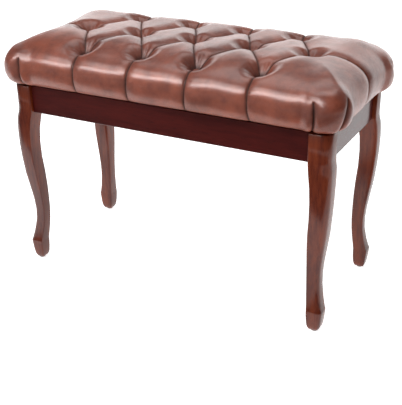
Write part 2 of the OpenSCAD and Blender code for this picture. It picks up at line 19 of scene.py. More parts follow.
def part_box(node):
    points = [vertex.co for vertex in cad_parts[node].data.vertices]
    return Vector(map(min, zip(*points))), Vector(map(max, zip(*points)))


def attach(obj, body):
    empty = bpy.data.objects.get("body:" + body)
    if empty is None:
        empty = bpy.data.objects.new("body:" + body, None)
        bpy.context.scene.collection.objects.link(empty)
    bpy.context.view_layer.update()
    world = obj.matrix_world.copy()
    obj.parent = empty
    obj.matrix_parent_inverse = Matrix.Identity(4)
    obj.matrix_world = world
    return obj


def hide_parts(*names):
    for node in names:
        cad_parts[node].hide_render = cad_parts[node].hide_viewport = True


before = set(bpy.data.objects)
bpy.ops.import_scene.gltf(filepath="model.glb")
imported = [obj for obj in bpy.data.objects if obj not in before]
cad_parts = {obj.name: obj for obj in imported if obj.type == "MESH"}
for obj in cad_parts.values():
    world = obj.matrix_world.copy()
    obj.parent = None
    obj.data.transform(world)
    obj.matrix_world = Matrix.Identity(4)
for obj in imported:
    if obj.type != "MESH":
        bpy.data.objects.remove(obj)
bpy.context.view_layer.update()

# %% [markdown]
# ## Two small helpers
# Every piece is a mesh with one finish that rides on one body of the bench, which keeps it in place
# when the lid opens. Most meshes are no more than a list of points and a list of faces.

# %% Make a piece
def add_piece(name, mesh, body, finish):
    piece = bpy.data.objects.new(name, mesh)
    bpy.context.scene.collection.objects.link(piece)
    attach(piece, body)
    mesh.materials.append(finish)
    return piece


def piece_from(name, points, faces, body, slot, finish):
    mesh = bpy.data.meshes.new(name)
    mesh.from_pydata([tuple(point) for point in points], [], [tuple(face) for face in faces])
    mesh.validate()
    mesh.update()
    mesh.polygons.foreach_set("use_smooth", [True] * len(mesh.polygons))
    return add_piece(name, mesh, body, finish)


print("helpers for pieces ready")

# %% [markdown]
# ## Shader maths
# A finish is a small sum: grain times depth, plus wear, and so on. Drawing each step as a node by
# hand is slow to read, so this class wraps one socket and turns ordinary Python sums into Math nodes.
# Every other node comes from its `node` method, which sets a node up before it plugs values in.

# %% A value that runs through a material
class Thread:
    def __init__(self, tree, socket=None):
        self.tree = tree
        self.socket = socket

    def node(self, kind, settings, sockets, out=0):
        made = self.tree.nodes.new("ShaderNode" + kind)
        for name, value in settings.items():
            setattr(made, name, value)
        for name, value in sockets.items():
            if isinstance(value, Thread):
                self.tree.links.new(value.socket, made.inputs[name])
            else:
                made.inputs[name].default_value = value
        return Thread(self.tree, made.outputs[out])

    def math(self, operation, first, second):
        return self.node("Math", {"operation": operation}, {0: first, 1: second})

    def __add__(self, other):
        return self.math("ADD", self, other)

    def __radd__(self, other):
        return self.math("ADD", other, self)

    def __sub__(self, other):
        return self.math("SUBTRACT", self, other)

    def __rsub__(self, other):
        return self.math("SUBTRACT", other, self)

    def __mul__(self, other):
        return self.math("MULTIPLY", self, other)

    def __rmul__(self, other):
        return self.math("MULTIPLY", other, self)

    def between(self, low, high):
        """0 below low, 1 above high, smooth between them."""
        return self.node("MapRange", {"interpolation_type": "SMOOTHSTEP"},
                         {"Value": self, "From Min": low, "From Max": high})

    def blend(self, first, second):
        """The colour first where this value is 0 and second where it is 1."""
        return self.node("Mix", {"data_type": "RGBA"}, {0: self, 6: first, 7: second}, out=2)

    def stretched(self, x, y, z):
        """Coordinates scaled by axis, so that a pattern is long in the direction scaled least."""
        return self.node("VectorMath", {"operation": "MULTIPLY"}, {0: self, 1: (x, y, z)})

    def noise(self, scale, detail, roughness):
        return self.node("TexNoise", {}, {"Vector": self, "Scale": scale, "Detail": detail,
                                          "Roughness": roughness})

    def plug(self, socket):
        self.tree.links.new(self.socket, socket)


print("shader maths ready")


# %% Start a material
def new_finish(name, **shader):
    """A material, a thread at its object coordinates, and its shader's sockets."""
    material = bpy.data.materials.new(name)
    material.use_nodes = True
    sockets = material.node_tree.nodes["Principled BSDF"].inputs
    for key, value in shader.items():
        sockets[key.replace("_", " ")].default_value = value
    place = Thread(material.node_tree).node("TexCoord", {}, {}, out="Object")
    return material, place, sockets


def colour(red, green, blue):
    return (red, green, blue, 1.0)


def emboss(height, depth, sockets):
    height.node("Bump", {}, {"Height": height, "Distance": depth, "Strength": 1.0}).plug(sockets["Normal"])


print("materials can be started")

# %% [markdown]
# ## Mahogany stain
# The frame is a close-grained hardwood stained red-brown and sprayed with a semi-gloss lacquer. Grain
# runs along each piece, so the same pattern is stretched along X for the long aprons, along Y for the
# short ones and along Z for the legs. Three sizes of detail are mixed: broad bands of colour, fine
# streaks, and the short dark pores. The lacquer is a clear coat, which fills most of the pores. The
# legs get a lighter stain than the boards, and the difference is painted light and shade: the legs
# are coloured as if lit, the aprons as if they stood in the shade under the seat.

# %% Stained wood
LACQUER = {"Coat_Weight": 0.68, "Coat_Roughness": 0.15, "Coat_IOR": 1.5, "Specular_IOR_Level": 0.06}
GRAIN_PACKING = 9.0
# Each stain has two colours as painted light and shade: the leg colours are lighter, as if lit, the board
# colours darker, as if in the shade under the seat.
STAIN_DEEP = {"board": colour(0.048, 0.0030, 0.0026), "leg": colour(0.074, 0.0085, 0.0030)}
STAIN_WARM = {"board": colour(0.080, 0.0060, 0.0040), "leg": colour(0.185, 0.0310, 0.0080)}
STAIN_PORE = colour(0.014, 0.0015, 0.0012)
GRAIN_RELIEF = 0.00012


def stained_wood(axis):
    wood, place, sockets = new_finish(f"stained_wood_{axis.lower()}", **LACQUER)
    along = place.stretched(*[1.0 if axis == other else GRAIN_PACKING for other in "XYZ"])
    bands = along.noise(3.2, 4.0, 0.55)
    streaks = along.noise(16.0, 4.0, 0.65)
    pores = along.noise(75.0, 2.0, 0.6).between(0.60, 0.72)
    warm = (bands * 0.55 + streaks * 0.45).between(0.34, 0.68)
    # Painted light and shade: the legs take the lighter, lit colours and every board the darker, shaded ones.
    lit_or_shaded = "leg" if axis == "Z" else "board"
    tone = warm.blend(STAIN_DEEP[lit_or_shaded], STAIN_WARM[lit_or_shaded])
    (pores * 0.55).blend(tone, STAIN_PORE).plug(sockets["Base Color"])
    (0.40 + streaks * 0.14).plug(sockets["Roughness"])
    emboss(streaks * 0.25 - pores * 0.6, GRAIN_RELIEF, sockets)
    return wood


wood_along = {axis: stained_wood(axis) for axis in "XYZ"}
print("stained wood runs along", ", ".join(wood_along))

# %% [markdown]
# ## Leather
# The seat is wrapped in brown leather with a rubbed two-tone finish, mottled at random. The folds and
# the wells round the buttons are darkened with painted shade, which comes with the mesh as a number
# from 0 to 1 on each point; the rest is noise at three scales: cloudy mottling, the pebbled grain, and
# fine creases. A clear finish on top gives the soft shine, and it is thinner inside the folds, which
# leaves them dull; their darkness is the painted shade.

# %% Brown leather
DYE_LIGHT = colour(0.285, 0.060, 0.026)
DYE_DARK = colour(0.125, 0.021, 0.009)
PAINTED_FOLD_SHADE = colour(0.012, 0.003, 0.002)
CLEAR_FINISH = 0.62
LEATHER_SHEEN = {"Coat_Weight": CLEAR_FINISH, "Coat_Roughness": 0.25, "Specular_IOR_Level": 0.42,
                 "Specular_Tint": colour(1.0, 0.66, 0.60)}
PEBBLES = 620.0
PEBBLE_RELIEF = 0.00022


def brown_leather(name, paint_fold_shade):
    leather, place, sockets = new_finish(name, **LEATHER_SHEEN)
    clouds = place.noise(11.0, 5.0, 0.62)
    blotches = place.noise(38.0, 4.0, 0.6)
    creases = place.noise(190.0, 3.0, 0.6)
    grain = place.node("TexVoronoi", {"feature": "DISTANCE_TO_EDGE"}, {"Vector": place, "Scale": PEBBLES})
    # Random mottling of the dye: the leather's own two-tone colour.
    mottling = (clouds * 0.62 + blotches * 0.38).between(0.33, 0.68)
    tone = mottling.blend(DYE_LIGHT, DYE_DARK)
    dullness = 0.35 + mottling * 0.08 + creases * 0.10
    if paint_fold_shade:
        # Painted shade: the colour is darkened in the folds and wells. The clear finish is also thinner and
        # rougher there.
        fold_shade = place.node("Attribute", {"attribute_name": "fold_shade"}, {}, out="Fac")
        tone = fold_shade.blend(tone, PAINTED_FOLD_SHADE)
        dullness = dullness + fold_shade * 0.45
        (CLEAR_FINISH - fold_shade * 0.60).plug(sockets["Coat Weight"])
    tone.plug(sockets["Base Color"])
    dullness.plug(sockets["Roughness"])
    emboss(grain.between(0.0, 0.10) * 0.5 + creases * 0.8, PEBBLE_RELIEF, sockets)
    return leather


seat_leather = brown_leather("brown_leather_seat", paint_fold_shade=True)
button_leather = brown_leather("brown_leather_button", paint_fold_shade=False)
print("leather finishes:", seat_leather.name, button_leather.name)

# %% [markdown]
# ## The seat cushion
# A tufted seat is one flat hide, laid over foam, pulled down at each button and tucked into pleats
# between the buttons. So the mesh starts as a flat sheet too: a fine grid that is wrapped over a
# smooth cushion shape, and then pressed in along the pleats and at the buttons. Wrapping a grid,
# instead of sculpting, keeps every pleat where the upholsterer's chalk lines would put it.

# %% The cushion's size
seat_low, seat_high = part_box("leather_cover")
CROWN = 0.0120          # how far the puffs stand above the frame's plain cushion
ROLL_REACH = 0.080      # from the flat heart of the seat out to the frame's plain cushion
ROLL_WIDTH = 0.072      # how wide the top's turn is
ROLL_SQUARENESS = 0.80  # 1 is an ellipse, and less is squarer
WIDEST = 0.463          # the height where the cushion is widest
BULGE = 0.0180          # how far the side tucks in below that
TURN_UNDER = 0.022      # leather stapled flat underneath
CORNER_POINT = 0.25     # how far each corner is pulled out past a plain round
core = (seat_high.x - ROLL_REACH, seat_high.y - ROLL_REACH)
crown_height = seat_high.z + CROWN
print("the flat heart of the seat is", [round(2 * side, 3) for side in core], "m")

# %% [markdown]
# ### The edge
# Seen from the side, the edge is two quarter turns: a wide one from the top down to the widest place,
# and a tight one that tucks the leather in under the seat board. The outline starts in the heart of
# the seat and ends underneath.

# %% The edge's outline
EDGE_POINTS = 40


def quarter_turn(centre, level, width, height, start, squareness):
    """A quarter turn down from the angle start, as (distance out, height)."""
    outline = []
    for turn in np.linspace(start, start - math.pi / 2, EDGE_POINTS):
        out, up = (math.copysign(abs(part) ** squareness, part) for part in (math.cos(turn), math.sin(turn)))
        outline.append((centre + width * out, level + height * up))
    return outline


top_turn = quarter_turn(ROLL_REACH - ROLL_WIDTH, WIDEST, ROLL_WIDTH, crown_height - WIDEST,
                        math.pi / 2, ROLL_SQUARENESS)
tuck = quarter_turn(ROLL_REACH - BULGE, WIDEST, BULGE, WIDEST - seat_low.z, 0.0, 1.0)
profile = np.array([(0.0, crown_height), *top_turn, *tuck[1:],
                    (ROLL_REACH - BULGE - TURN_UNDER, seat_low.z)])
travelled = np.concatenate([[0.0], np.cumsum(np.hypot(*np.diff(profile, axis=0).T))])
sheet_edge = travelled[-1]
fold_start = sheet_edge - TURN_UNDER
print("the leather runs", round(sheet_edge, 3), "m over the edge and under")

# %% [markdown]
# ### Wrapping
# A point of the flat hide keeps its place while it lies over the heart of the seat. Past that, its
# distance from the heart says how far round the edge it has travelled, and its place along the
# sheet's corner says which way it faces. The sheet's square corner so becomes the seat's round one.

# %% Wrap the hide over the cushion
SLOPE_STEP = 0.0008


def rise_and_run(reach):
    """The outline's direction where the leather has travelled reach, as two parts of length one."""
    ahead, behind = reach + SLOPE_STEP, reach - SLOPE_STEP
    run, rise = (np.interp(ahead, travelled, column) - np.interp(behind, travelled, column)
                 for column in profile.T)
    rise = np.where(reach < SLOPE_STEP, 0.0, rise)
    length = np.hypot(run, rise)
    return rise / length, run / length


def wrap(flat_points):
    """Where points of the hide lie on the smooth cushion, which way is out, and how far they went."""
    x, y = flat_points[:, 0], flat_points[:, 1]
    inner_x = np.clip(x, -core[0], core[0])
    inner_y = np.clip(y, -core[1], core[1])
    over_x, over_y = np.abs(x - inner_x), np.abs(y - inner_y)
    reach = np.maximum(over_x, over_y)
    safe = np.maximum(reach, 1e-9)
    turn = np.where(over_x >= over_y, over_y / safe, 2.0 - over_x / safe) * math.pi / 4
    side_x = np.cos(turn) * np.sign(x)
    side_y = np.sin(turn) * np.sign(y)
    rise, run = rise_and_run(reach)
    out = np.interp(reach, travelled, profile[:, 0]) * (1.0 + CORNER_POINT * np.sin(2.0 * turn) ** 2)
    height = np.interp(reach, travelled, profile[:, 1])
    place = np.stack([inner_x + side_x * out, inner_y + side_y * out, height], axis=-1)
    outward = np.stack([-rise * side_x, -rise * side_y, run], axis=-1)
    return place, outward, reach


print("the hide can be wrapped")

# %% [markdown]
# The foam is not level. It slopes down to the front, where the sitter's knees bend, and to both ends.
# The back left corner is stuffed fuller than the others.

# %% Settle the foam
END_DROOP = 0.015
END_SLOPE = (-0.005, 0.085)
FRONT_DROOP = 0.017
FRONT_SLOPE = (-0.040, 0.070)
FULLER_CORNER = 0.85
FULLER_FROM = (0.020, 0.110)


def smoothstep(value, low, high):
    share = np.clip((value - low) / (high - low), 0.0, 1.0)
    return share * share * (3.0 - 2.0 * share)


def settle(surface):
    near_end = smoothstep(np.abs(surface[:, 0]), *[core[0] + side for side in END_SLOPE])
    near_front = smoothstep(-surface[:, 1], *[core[1] + side for side in FRONT_SLOPE])
    fuller = smoothstep(surface[:, 1], *FULLER_FROM) * (surface[:, 0] < 0.0)
    end_droop = END_DROOP * near_end * (1.0 - FULLER_CORNER * fuller)
    lifted = (surface[:, 2] - seat_low.z) / (crown_height - seat_low.z)
    surface[:, 2] -= lifted * np.maximum(end_droop, FRONT_DROOP * near_front)
    return surface


print("the foam drops", END_DROOP, "m at the ends and", FRONT_DROOP, "m at the front")

# %% [markdown]
# ### Buttons and pleats
# The buttons stand in three staggered rows. A pleat joins each button of the middle row to its
# neighbours in the outer rows, and from the outer rows a pleat runs straight over the edge. Nothing
# made by hand lines up exactly, so each button is a few millimetres off its chalk mark.

# %% Lay out the buttons
PITCH = 0.128
OUTER_ROW = 0.108
OFF_MARK = 0.005
hand = random.Random(7)


def by_hand(x, y):
    return (x + hand.uniform(-OFF_MARK, OFF_MARK), y + hand.uniform(-OFF_MARK, OFF_MARK))


middle_row = [by_hand(PITCH * column, 0.0) for column in range(-2, 3)]
front_row = [by_hand(PITCH * (column + 0.5), -OUTER_ROW) for column in range(-2, 2)]
back_row = [by_hand(PITCH * (column + 0.5), OUTER_ROW) for column in range(-2, 2)]
tufts = middle_row + front_row + back_row
print(len(tufts), "buttons")

# %% Lay out the pleats
BOW = 0.004
END_BOW = 0.006
SIDE_DRIFT = 0.006
END_DRIFT = 0.008
# depth at a pleat's start, along its middle and at its end, and how far to each side it spreads
BETWEEN_BUTTONS = (0.0080, 0.0066, 0.0080, 0.034)
OVER_THE_SIDE = (0.0080, 0.0034, 0.0018, 0.022)
OVER_THE_END = (0.0080, 0.0038, 0.0022, 0.024)
AT_THE_CORNER = (0.001, 0.0070, 0.0055, 0.015)


def bowed(start, end, bow):
    """Points from start to end that swing aside by bow at the middle."""
    start, end = np.array(start), np.array(end)
    aside = np.array([start[1] - end[1], end[0] - start[0]])
    aside = aside / np.linalg.norm(aside)
    shares = np.linspace(0.0, 1.0, 15)[:, None]
    return start + (end - start) * shares + aside * bow * 4.0 * shares * (1.0 - shares)


pleats = []
for x, y in middle_row:
    for other in front_row + back_row:
        if abs(other[0] - x) < PITCH * 0.75:
            pleats.append((bowed((x, y), other, hand.uniform(-BOW, BOW)), *BETWEEN_BUTTONS))
for row, way in ((front_row, -1.0), (back_row, 1.0)):
    for x, y in row:
        foot = (x + hand.uniform(-SIDE_DRIFT, SIDE_DRIFT), way * (core[1] + fold_start))
        pleats.append((bowed((x, y), foot, hand.uniform(-BOW, BOW)), *OVER_THE_SIDE))
for (x, y), way in ((middle_row[0], -1.0), (middle_row[-1], 1.0)):
    foot = (way * (core[0] + fold_start), y + hand.uniform(-END_DRIFT, END_DRIFT))
    pleats.append((bowed((x, y), foot, END_BOW), *OVER_THE_END))
print(len(pleats), "pleats between the buttons and over the edge")

# %% [markdown]
# At each corner the spare leather is folded into two pleats, one on the long side and one on the
# short side, with a plump knob between them. The pleats start low on the roll, where it turns down
# into the side. Their places are shares of the way round the corner, where 0 is its start and 1 is
# its point.

# %% Fold the corners
SHOULDER = 0.086
LONG_SIDE_SHARES = (0.48, 0.48)
SHORT_SIDE_SHARES = (0.60, 0.84)
CORNER_BOW = 0.003
for sign_x in (-1.0, 1.0):
    for sign_y in (-1.0, 1.0):
        corner = np.array([sign_x * core[0], sign_y * core[1]])
        for (share_top, share_foot), order in ((LONG_SIDE_SHARES, -1), (SHORT_SIDE_SHARES, 1)):
            start, end = (corner + np.array((reach, reach * share)[::order]) * (sign_x, sign_y)
                          for reach, share in ((SHOULDER, share_top), (fold_start, share_foot)))
            pleats.append((bowed(start, end, CORNER_BOW), *AT_THE_CORNER))
print(len(pleats), "pleats in all")

# %% [markdown]
# ### The flat hide
# The hide is a grid of small cells. Grid points next to a pleat are first moved onto it, which keeps
# the fold crisp.

# %% Make the flat hide
CELL = 0.0021
SNAP = 0.55 * CELL


def even(limit):
    count = round(2 * limit / CELL)
    return np.linspace(-limit, limit, count + 1)


grid_x, grid_y = np.meshgrid(even(core[0] + sheet_edge), even(core[1] + sheet_edge), indexing="ij")
flat = np.stack([grid_x.ravel(), grid_y.ravel()], axis=-1)
rows, columns = grid_x.shape


def nearest_on(line, points):
    """For each point: the distance to the line, the nearest place on it, and how far along that is."""
    best = np.full(len(points), np.inf)
    place = np.zeros_like(points)
    share = np.zeros(len(points))
    for index in range(len(line) - 1):
        start, step = line[index], line[index + 1] - line[index]
        along = np.clip(((points - start) @ step) / (step @ step), 0.0, 1.0)
        spot = start + along[:, None] * step
        distance = np.linalg.norm(points - spot, axis=1)
        closer = distance < best
        best = np.where(closer, distance, best)
        place[closer] = spot[closer]
        share = np.where(closer, (index + along) / (len(line) - 1), share)
    return best, place, share


def points_around(line, points, margin):
    low, high = line.min(axis=0) - margin, line.max(axis=0) + margin
    return np.flatnonzero(((points > low) & (points < high)).all(axis=1))


for line, *_ in pleats:
    near = points_around(line, flat, CELL)
    distance, spot, _ = nearest_on(line, flat[near])
    onto = distance < SNAP
    flat[near[onto]] = spot[onto]
print("the hide is a grid of", rows, "by", columns, "points")

# %% [markdown]
# ### Pressing the hide in
# Each pleat presses the surface in along its line, deepest at the line and fading over a few
# centimetres, and leaves a narrow slit. Each button presses a round well. The two are joined with a
# soft maximum, the cube root of a sum of cubes, so a pleat runs into its button without a step. The
# same distances give the painted shade that darkens the folds and the wells.

# %% Press in the pleats
SLIT_WIDTH = 0.0034
SLIT_DEPTH = 0.0018
PLEAT_FADE = 2.1
surface, outward, reach = wrap(flat)
surface = settle(surface)
pressed = np.zeros(len(flat))
fold_shade = np.zeros(len(flat))
slit = np.zeros(len(flat))


def shade_falloff(distance, width, strength):
    return np.exp(-(distance / width) ** 2) * strength


for line, start_depth, middle_depth, end_depth, spread in pleats:
    route = settle(wrap(line)[0])
    near = points_around(route, surface, spread)
    distance, _, share = nearest_on(route, surface[near])
    depth = np.interp(share, [0.0, 0.25, 0.75, 1.0], [start_depth, middle_depth, middle_depth, end_depth])
    press = depth * np.clip(1.0 - distance / spread, 0.0, 1.0) ** PLEAT_FADE
    pressed[near] += press ** 3
    slit[near] = np.maximum(slit[near], np.clip(1.0 - distance / SLIT_WIDTH, 0.0, 1.0) * SLIT_DEPTH)
    # Painted shade along each pleat: a narrow dark line at the slit and a faint wider band beside it.
    fold_shade[near] = np.maximum(fold_shade[near], shade_falloff(distance, 0.0024, 0.97))
    fold_shade[near] = np.maximum(fold_shade[near], shade_falloff(distance, 0.009, 0.16))
print("pleats pressed, up to", round(1000 * float(np.cbrt(pressed.max())), 1), "mm")

# %% Press in the wells
WELL_REACH = 0.045
WELL_DEPTH = 0.025
WELL_FADE = 1.7
BUTTON = 0.008
CREASE = 0.0006
wrinkle = np.zeros(len(flat))
for x, y in tufts:
    away = np.hypot(flat[:, 0] - x, flat[:, 1] - y)
    angle = np.arctan2(flat[:, 1] - y, flat[:, 0] - x)
    press = WELL_DEPTH * np.clip(1.0 - (away - BUTTON) / (WELL_REACH - BUTTON), 0.0, 1.0) ** WELL_FADE
    pressed += np.where(away < BUTTON, WELL_DEPTH, press) ** 3
    # Painted shade in each well: dark round the button, with a faint wider darkening across the well.
    fold_shade = np.maximum(fold_shade, shade_falloff(away - BUTTON, 0.007, 0.9))
    fold_shade = np.maximum(fold_shade, shade_falloff(away, 0.026, 0.35))
    lobes = hand.randint(8, 13)
    window = smoothstep(away, 0.008, 0.014) * (1.0 - smoothstep(away, 0.020, 0.040))
    wrinkle += CREASE * window * np.sin(lobes * angle + hand.uniform(0, 6.28) + 1.7 * np.sin(3 * angle))
pressed = np.cbrt(pressed)
print("deepest press", round(1000 * pressed.max(), 1), "mm")

# %% [markdown]
# Foam is never quite even, so the puffs get a slow, shallow unevenness, and the corner knobs swell
# a little. All of it fades out towards the bottom edge, where the leather is stapled tight.

# %% Let the foam push back
UNEVENNESS = 0.00040
KNOB_SWELL = 0.0050
KNOB_ACROSS = (0.01, 0.05)
KNOB_DOWN = (0.045, 0.075)
TIGHT_BAND = 0.022  # above the bottom edge, where the leather is pulled tight
TIGHT_SHARE = 0.30  # what is left of a pleat's depth there
EDGE_FADE = 0.004   # to each side of the bottom edge, where all of it ends
puff = np.zeros(len(flat))
for _ in range(9):
    direction = hand.uniform(0.0, math.pi)
    wave = hand.uniform(30.0, 75.0)
    across = flat[:, 0] * math.cos(direction) + flat[:, 1] * math.sin(direction)
    puff += UNEVENNESS * np.sin(wave * across + hand.uniform(0.0, 6.28))
past_x, past_y = np.abs(flat[:, 0]) - core[0], np.abs(flat[:, 1]) - core[1]
into_corner = smoothstep(np.minimum(np.abs(past_x), np.abs(past_y)), *KNOB_ACROSS)
is_corner = (past_x > 0.0) & (past_y > 0.0)
knob = np.where(is_corner, into_corner * smoothstep(reach, *KNOB_DOWN), 0.0)
loose = 1.0 - smoothstep(reach, fold_start - TIGHT_BAND, fold_start)
held = TIGHT_SHARE + (1.0 - TIGHT_SHARE) * loose
under = 1.0 - smoothstep(reach, fold_start - EDGE_FADE, fold_start + EDGE_FADE)
shift = (-pressed * held - slit + wrinkle + puff * loose + KNOB_SWELL * knob * loose) * under
points = surface + outward * shift[:, None]
print("the foam moves the leather by up to", round(1000 * float(np.abs(shift).max()), 1), "mm")

# %% [markdown]
# The rim of the grid meets under the seat in one flat face, so the cushion is a closed form.

# %% Close the cushion
STAPLED_RIM = 0.004
RIM_GAP = 0.0012
points[:, 2] = np.where(reach > sheet_edge - STAPLED_RIM, seat_low.z + RIM_GAP, points[:, 2])
index = np.arange(rows * columns).reshape(rows, columns)
quads = np.stack([index[:-1, :-1], index[1:, :-1], index[1:, 1:], index[:-1, 1:]], axis=-1)
rim = [*index[:, 0], *index[-1, 1:], *index[-2::-1, -1], *index[0, -2:0:-1]]
cushion = piece_from("tufted_cushion", points, [*quads.reshape(-1, 4).tolist(), rim[::-1]],
                     "lid", "brown_leather", seat_leather)
# Each point keeps its painted fold shade, which the leather's colour reads.
fold_values = cushion.data.attributes.new("fold_shade", "FLOAT", "POINT")
fold_values.data.foreach_set("value", (fold_shade * under).astype(np.float32))
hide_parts("leather_cover", "foam_pad")
print("cushion:", len(points), "points, highest", round(points[:, 2].max(), 4), "m")

# %% [markdown]
# ### Covered buttons
# Each button is a domed metal shell with a scrap of the same leather pulled over it. A turned
# outline, spun round its axis, is the simplest true shape: a low dome, a full edge, and a skirt that
# goes down into the well. Each one sits at its own slight tilt.

# %% Turn a button
BUTTON_OUTLINE = [(0.0, 0.0050), (0.0025, 0.0048), (0.0050, 0.0040), (0.0068, 0.0027),
                  (0.0078, 0.0012), (0.0080, 0.0002), (0.0074, -0.0010), (0.0055, -0.0022)]
SPOKES = 28


def turned(outline):
    """Points and faces of an outline of (radius, height) spun round Z, which starts at its crown."""
    points, faces = [], []
    for radius, height in outline[1:]:
        for spoke in range(SPOKES):
            turn = 2 * math.pi * spoke / SPOKES
            points.append(Vector((radius * math.cos(turn), radius * math.sin(turn), height)))
    crown = len(points)
    points.append(Vector((0.0, 0.0, outline[0][1])))
    for ring in range(len(outline) - 2):
        here, below = ring * SPOKES, (ring + 1) * SPOKES
        for spoke in range(SPOKES):
            after = (spoke + 1) % SPOKES
            faces.append((here + spoke, below + spoke, below + after, here + after))
    faces += [(spoke, (spoke + 1) % SPOKES, crown) for spoke in range(SPOKES)]
    faces.append(tuple(reversed(range(crown - SPOKES, crown))))
    return points, faces


button_points, button_faces = turned(BUTTON_OUTLINE)
print("a button has", len(button_faces), "faces")

# %% Set the buttons in their wells
BUTTON_TILT = 0.08
BUTTON_LIFT = Vector((0.0, 0.0, 0.0010))
for number, (x, y) in enumerate(tufts, 1):
    floor_point = int(np.argmin(np.hypot(flat[:, 0] - x, flat[:, 1] - y)))
    well_floor = Vector(points[floor_point]) + BUTTON_LIFT
    tilt = Vector((hand.uniform(-BUTTON_TILT, BUTTON_TILT), hand.uniform(-BUTTON_TILT, BUTTON_TILT), 0.0))
    upright = (Vector(outward[floor_point]) + tilt).normalized().to_track_quat("Z", "Y")
    placed = [upright @ point + well_floor for point in button_points]
    button = piece_from(f"covered_button_{number:02d}", placed, button_faces,
                        "lid", "brown_leather", button_leather)
    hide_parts("tuft_buttons")
print(len(tufts), "covered buttons in their wells")

# %% [markdown]
# ## Cabriole legs
# Each leg is sawn from a square post to a slow S: out at the knee, in at the ankle, and out again to
# a small pointed toe. Its two outer faces carry the curve and its corner is rounded over. A loft does
# this well: one rounded square for each height, joined to the next. The front right leg's outline is
# written once, as distances from the post's centre, and mirrored for the other three.

# %% The leg's outline
MILLIMETRE = 0.001
LEG_LEVELS = [
    # in millimetres: height, outer face, inner face, outer corner radius
    (2.5, 12, 4, 6),
    (4, 14, 6, 7),
    (8, 16, 8, 8),
    (14, 17.5, 9.5, 8.5),
    (26, 19, 10.5, 9),
    (38, 20, 11, 9),
    (45.5, 20.5, 11, 9),
    (47.5, 20, 11, 9),
    (50, 19, 11.5, 9),
    (56, 17.5, 12, 9),
    (68, 14.5, 13.5, 8.5),
    (82, 12, 15, 8.5),
    (100, 9.5, 16.5, 9),
    (125, 9, 17.5, 9.5),
    (150, 11, 17.5, 10.5),
    (180, 15, 17, 11.5),
    (215, 20, 15.5, 13),
    (250, 23, 13, 14),
    (285, 25, 12.5, 15),
    (316, 25.5, 14, 16),
    (334, 25, 16.5, 16.5),
    (348, 24, 18.5, 17),
    (361, 21.5, 20.5, 17.5),
    (370, 21, 21, 18),
    (419, 21, 21, 18),
    (420, 20, 20, 17),
]
POST = 0.042
post_low, post_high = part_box("front_right_leg")
post_centre = (post_low.x + POST / 2, POST / 2 - post_high.y)
print("each leg is lofted through", len(LEG_LEVELS), "levels")

# %% [markdown]
# The two corners beside the outer one are only eased with paper. The inner corner is eased too, down
# the leg, and cut right back in the top block, where the corner brace and its bolt need the room.

# %% One level of a leg
ARRIS = 0.0022
BLOCK_FROM = 0.36
BLOCK_INNER_CORNER = 0.0205
INNER_CORNER = 0.0045


def leg_section(height, outer, inner, corner):
    """A rounded square with its outer corner at +X +Y, from -inner to +outer on both axes."""
    inner_corner = BLOCK_INNER_CORNER if height > BLOCK_FROM else min(INNER_CORNER, 0.4 * inner)
    loop = []
    for x, y, radius, quarters, count in ((outer, outer, corner, 0, 9), (-inner, outer, ARRIS, 1, 5),
                                          (-inner, -inner, inner_corner, 2, 7), (outer, -inner, ARRIS, 3, 5)):
        centre_x, centre_y = x - math.copysign(radius, x), y - math.copysign(radius, y)
        for turn in np.linspace(quarters * math.pi / 2, (quarters + 1) * math.pi / 2, count):
            loop.append((centre_x + radius * math.cos(turn), centre_y + radius * math.sin(turn)))
    return loop


print("a leg has", len(leg_section(*[size * MILLIMETRE for size in LEG_LEVELS[0]])), "points round it")


# %% Loft the four legs
def lofted_leg(sign_x, sign_y):
    points, faces = [], []
    for level in LEG_LEVELS:
        sizes = [size * MILLIMETRE for size in level]
        for x, y in leg_section(*sizes):
            points.append((sign_x * (post_centre[0] + x), sign_y * (post_centre[1] + y), sizes[0]))
    around = len(points) // len(LEG_LEVELS)
    for start in range(0, len(points) - around, around):
        for step in range(around):
            after = (step + 1) % around
            faces.append((start + step, start + after, start + around + after, start + around + step))
    faces += [tuple(reversed(range(around))), tuple(range(len(points) - around, len(points)))]
    if sign_x * sign_y < 0:
        faces = [face[::-1] for face in faces]
    return points, faces


for name, sign_x, sign_y in (("front_left_leg", -1, -1), ("front_right_leg", 1, -1),
                             ("rear_left_leg", -1, 1), ("rear_right_leg", 1, 1)):
    leg = piece_from(name + "_shaped", *lofted_leg(sign_x, sign_y), "frame", "stained_wood", wood_along["Z"])
    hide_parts(name)
print("four legs lofted")

# %% [markdown]
# ## Boards with softened edges
# A joiner breaks every edge of a board with fine paper before staining it, and the thin bright line
# that this leaves is what the eye reads as wood. The boards of the frame are exact but sharp, so each
# apron is made again at the same size, with its edges bevelled.

# %% Make the aprons
SOFT_EDGE = 0.0013


def softened_board(name, low, high):
    maker = bmesh.new()
    bmesh.ops.create_cube(maker, size=1.0)
    for vert in maker.verts:
        share = vert.co + Vector((0.5, 0.5, 0.5))
        vert.co = Vector([low[axis] + share[axis] * (high[axis] - low[axis]) for axis in range(3)])
    bmesh.ops.bevel(maker, geom=list(maker.edges), offset=SOFT_EDGE, segments=3, profile=0.5, affect="EDGES")
    mesh = bpy.data.meshes.new(name)
    maker.to_mesh(mesh)
    maker.free()
    return mesh


for side, axis in (("front", "X"), ("rear", "X"), ("left", "Y"), ("right", "Y")):
    node = side + "_apron"
    name = node + "_board"
    board = add_piece(name, softened_board(name, *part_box(node)), "frame", wood_along[axis])
    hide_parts(node)
print("four aprons with softened edges")

# %% [markdown]
# ## The cloth under the seat
# A thin black cloth is stapled over the underside of the lid, to hide the board and keep dust out. It
# is pulled tight, so it lies flat but for a hair's breadth, and it is cut round the hinge and the two
# stay brackets. Its weave is two crossed waves, light where both threads are on top.

